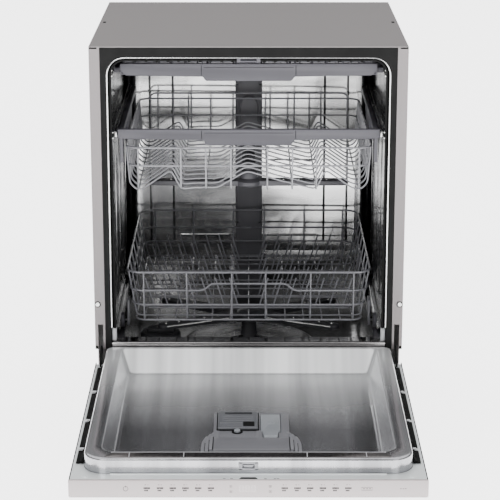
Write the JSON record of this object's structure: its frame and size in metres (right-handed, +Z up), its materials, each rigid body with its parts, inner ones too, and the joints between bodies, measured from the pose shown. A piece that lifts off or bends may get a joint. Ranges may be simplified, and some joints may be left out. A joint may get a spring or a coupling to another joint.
{
  "type": "built-in dishwasher",
  "caption": "Fully integrated dishwasher, door open, with sliding wire racks, cutlery tray, spray arms, dispenser and hinged door.",
  "frame": {"origin": "centre of the outline at floor level, with the door open", "axes": "+Z up, +Y to the back of the cabinet, +X to the right seen from the open door"},
  "size_m": [0.598, 1.147, 0.815],
  "materials": {
    "tub_steel": "brushed",
    "bright_steel": "satin",
    "liner_steel": "brushed",
    "painted_casing": "satin",
    "silver_strip": "satin",
    "frame_paint": "matte",
    "dark_plastic": "matte",
    "grey_plastic": "matte",
    "mid_grey_plastic": "satin",
    "pale_plastic": "satin",
    "white_plastic": "matte",
    "coated_wire": "satin",
    "rubber": "matte"
  },
  "bodies": {
    "cabinet": {"tub": "tub_steel", "sill": "tub_steel", "front_frame": "frame_paint", "seal_peg_left": "pale_plastic", "seal_peg_right": "pale_plastic", "door_striker": "pale_plastic", "door_gasket": "rubber", "right_panel": "painted_casing", "left_panel": "painted_casing", "top_panel": "painted_casing", "plinth": "painted_casing", "base_tray": "dark_plastic", "sump": "dark_plastic", "filter_plate": "bright_steel", "arm_post": "dark_plastic", "softener": "white_plastic", "water_duct": "dark_plastic", "wash_pump": "dark_plastic", "drain_pump": "dark_plastic", "inlet_valve": "white_plastic", "spring_left": "bright_steel", "spring_right": "bright_steel", "tray_rail_left": "bright_steel", "tray_rail_right": "bright_steel", "upper_rail_left": "bright_steel", "upper_rail_right": "bright_steel"},
    "door": {"door_panel": "painted_casing", "door_liner": "liner_steel", "control_strip": "silver_strip", "side_trim_left": "dark_plastic", "side_trim_right": "dark_plastic", "hinge_arm_left": "dark_plastic", "hinge_arm_right": "dark_plastic", "latch_housing": "mid_grey_plastic", "dispenser": "mid_grey_plastic"},
    "latch_pawl": {"latch_pawl": "bright_steel"},
    "detergent_lid": {"detergent_lid": "pale_plastic"},
    "lid_button": {"lid_button": "pale_plastic"},
    "rinse_flap": {"rinse_flap": "pale_plastic"},
    "cutlery_tray": {"cutlery_tray": "grey_plastic"},
    "upper_slides": {"upper_slide_left": "bright_steel", "upper_slide_right": "bright_steel"},
    "upper_rack": {"upper_basket": "coated_wire", "upper_band": "grey_plastic", "upper_feed": "dark_plastic"},
    "middle_arm": {"middle_spray_arm": "dark_plastic"},
    "lower_rack": {"lower_basket": "coated_wire"},
    "lower_arm": {"lower_spray_arm": "dark_plastic"},
    "tines_front": {"folding_tines_front": "coated_wire"},
    "tines_rear": {"folding_tines_rear": "coated_wire"},
    "filter_cup": {"filter_cup": "dark_plastic"},
    "salt_cap": {"salt_cap": "dark_plastic"},
    "wheel_front_left": {"wheel_front_left": "grey_plastic"},
    "wheel_rear_left": {"wheel_rear_left": "grey_plastic"},
    "wheel_front_right": {"wheel_front_right": "grey_plastic"},
    "wheel_rear_right": {"wheel_rear_right": "grey_plastic"},
    "foot_1": {"foot_1": "dark_plastic"},
    "foot_2": {"foot_2": "dark_plastic"},
    "foot_3": {"foot_3": "dark_plastic"},
    "foot_4": {"foot_4": "dark_plastic"}
  },
  "joints": [
    {"name": "door_hinge", "type": "hinge", "parent": "cabinet", "child": "door", "pos_m": [0, 0.0145, 0.219], "axis": [-1, 0, 0], "range_deg": [0, 90]},
    {"name": "latch_press", "type": "slide", "parent": "door", "child": "latch_pawl", "axis": [0, 1, 0], "range_m": [0, 0.0015], "stiffness_N_per_m": 400},
    {"name": "lid_slide", "type": "slide", "parent": "door", "child": "detergent_lid", "axis": [0, 1, 0], "range_m": [0, 0.07]},
    {"name": "button_press", "type": "slide", "parent": "door", "child": "lid_button", "axis": [0, 0, -1], "range_m": [0, 0.0015], "stiffness_N_per_m": 300},
    {"name": "rinse_flap_hinge", "type": "hinge", "parent": "door", "child": "rinse_flap", "pos_m": [0, -0.2675, 0.1936], "axis": [-1, 0, 0], "range_deg": [0, 90]},
    {"name": "tray_slide", "type": "slide", "parent": "cabinet", "child": "cutlery_tray", "axis": [0, 1, 0], "range_m": [-0.36, 0]},
    {"name": "upper_rack_slide", "type": "slide", "parent": "cabinet", "child": "upper_rack", "axis": [0, 1, 0], "range_m": [-0.42, 0]},
    {"name": "upper_slides_run", "type": "slide", "parent": "cabinet", "child": "upper_slides", "axis": [0, 1, 0], "range_m": [-0.21, 0]},
    {"name": "middle_arm_spin", "type": "hinge", "parent": "upper_rack", "child": "middle_arm", "pos_m": [0, 0.2855, 0.49], "axis": [0, 0, 1], "continuous": true},
    {"name": "lower_rack_slide", "type": "slide", "parent": "cabinet", "child": "lower_rack", "axis": [0, 1, 0], "range_m": [-0.46, 0]},
    {"name": "wheel_front_left_spin", "type": "hinge", "parent": "lower_rack", "child": "wheel_front_left", "pos_m": [0, 0.1195, 0.2483], "axis": [1, 0, 0], "continuous": true},
    {"name": "wheel_rear_left_spin", "type": "hinge", "parent": "lower_rack", "child": "wheel_rear_left", "pos_m": [0, 0.475, 0.2483], "axis": [1, 0, 0], "continuous": true},
    {"name": "wheel_front_right_spin", "type": "hinge", "parent": "lower_rack", "child": "wheel_front_right", "pos_m": [0, 0.1195, 0.2483], "axis": [1, 0, 0], "continuous": true},
    {"name": "wheel_rear_right_spin", "type": "hinge", "parent": "lower_rack", "child": "wheel_rear_right", "pos_m": [0, 0.475, 0.2483], "axis": [1, 0, 0], "continuous": true},
    {"name": "tines_front_fold", "type": "hinge", "parent": "lower_rack", "child": "tines_front", "pos_m": [0, 0.38533, 0.2704], "axis": [-1, 0, 0], "range_deg": [0, 80]},
    {"name": "tines_rear_fold", "type": "hinge", "parent": "lower_rack", "child": "tines_rear", "pos_m": [0, 0.46392, 0.2704], "axis": [-1, 0, 0], "range_deg": [0, 80]},
    {"name": "lower_arm_spin", "type": "hinge", "parent": "cabinet", "child": "lower_arm", "pos_m": [0, 0.2855, 0.207], "axis": [0, 0, 1], "continuous": true},
    {"name": "filter_cup_twist", "type": "hinge", "parent": "cabinet", "child": "filter_cup", "pos_m": [0, 0.1615, 0.14], "axis": [0, 0, 1], "range_deg": [0, 45]},
    {"name": "salt_cap_twist", "type": "hinge", "parent": "cabinet", "child": "salt_cap", "pos_m": [-0.183, 0.2635, 0.17], "axis": [0, 0, 1], "range_deg": [0, 90]},
    {"name": "foot_1_screw", "type": "slide", "parent": "cabinet", "child": "foot_1", "axis": [0, 0, 1], "range_m": [-0.03, 0]},
    {"name": "foot_2_screw", "type": "slide", "parent": "cabinet", "child": "foot_2", "axis": [0, 0, 1], "range_m": [-0.03, 0]},
    {"name": "foot_3_screw", "type": "slide", "parent": "cabinet", "child": "foot_3", "axis": [0, 0, 1], "range_m": [-0.03, 0]},
    {"name": "foot_4_screw", "type": "slide", "parent": "cabinet", "child": "foot_4", "axis": [0, 0, 1], "range_m": [-0.03, 0]}
  ],
  "couplings": [
    {"joint": "upper_slides_run", "follows": "upper_rack_slide", "ratio": 0.5},
    {"joint": "wheel_front_left_spin", "follows": "lower_rack_slide", "rad_per_m": -68.966},
    {"joint": "wheel_rear_left_spin", "follows": "lower_rack_slide", "rad_per_m": -68.966},
    {"joint": "wheel_front_right_spin", "follows": "lower_rack_slide", "rad_per_m": -68.966},
    {"joint": "wheel_rear_right_spin", "follows": "lower_rack_slide", "rad_per_m": -68.966}
  ]
}
